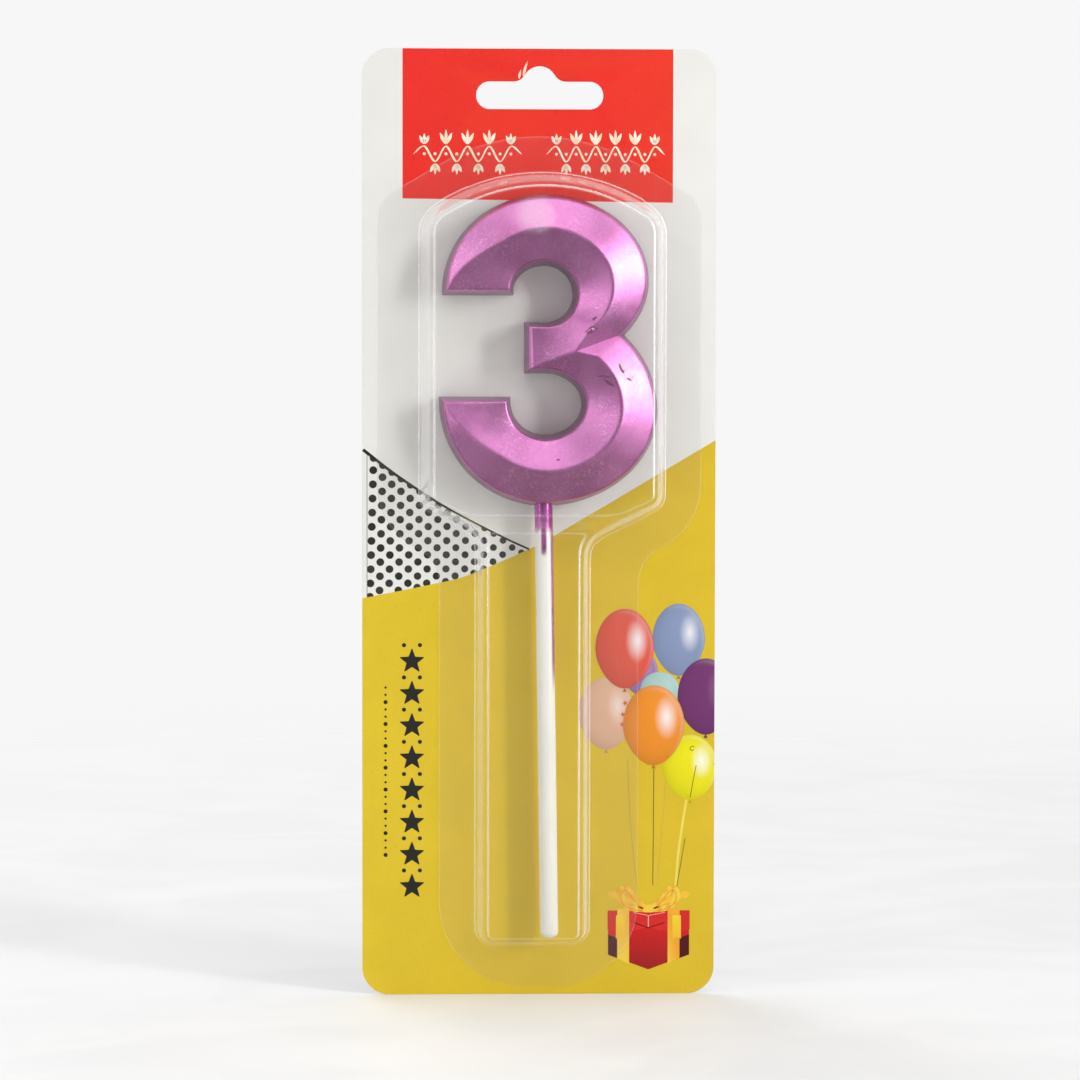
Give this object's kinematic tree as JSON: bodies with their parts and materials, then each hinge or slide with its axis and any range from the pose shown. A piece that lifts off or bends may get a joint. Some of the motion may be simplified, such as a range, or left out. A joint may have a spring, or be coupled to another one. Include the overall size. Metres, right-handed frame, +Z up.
{
  "type": "number birthday candle in a hang pack",
  "caption": "Metallic numeral candle on a plastic stick, held in a clear blister on a printed card with a hang slot.",
  "frame": {"origin": "centre of the hang slot, in the plane of the card's front face", "axes": "+Z up along the card, +Y out of the card's back, -Y the side that faces the shopper, +X to the shopper's right"},
  "size_m": [0.071, 0.0131, 0.19],
  "materials": {
    "printed_card": "coated board printed with colour blocks, white back",
    "clear_sheet": "clear thermoformed sheet",
    "metallic_wax": "wax with a glossy metallic purple coating",
    "stick_plastic": "satin white, purple coating on its upper end",
    "cotton": "waxed braid"
  },
  "bodies": {
    "card": {"backing_card": "printed_card"},
    "blister": {"blister_shell": "clear_sheet"},
    "candle": {"candle_digit": "metallic_wax", "candle_stick": "stick_plastic", "candle_wick": "cotton"}
  },
  "joints": [
    {"name": "blister_lift", "type": "slide", "parent": "card", "child": "blister", "axis": [0, -1, 0], "range_m": [0, 0.06]},
    {"name": "candle_lift", "type": "slide", "parent": "card", "child": "candle", "axis": [0, -1, 0], "range_m": [0, 0.03]}
  ],
  "couplings": [
    {"joint": "candle_lift", "follows": "blister_lift", "ratio": 0.5}
  ]
}
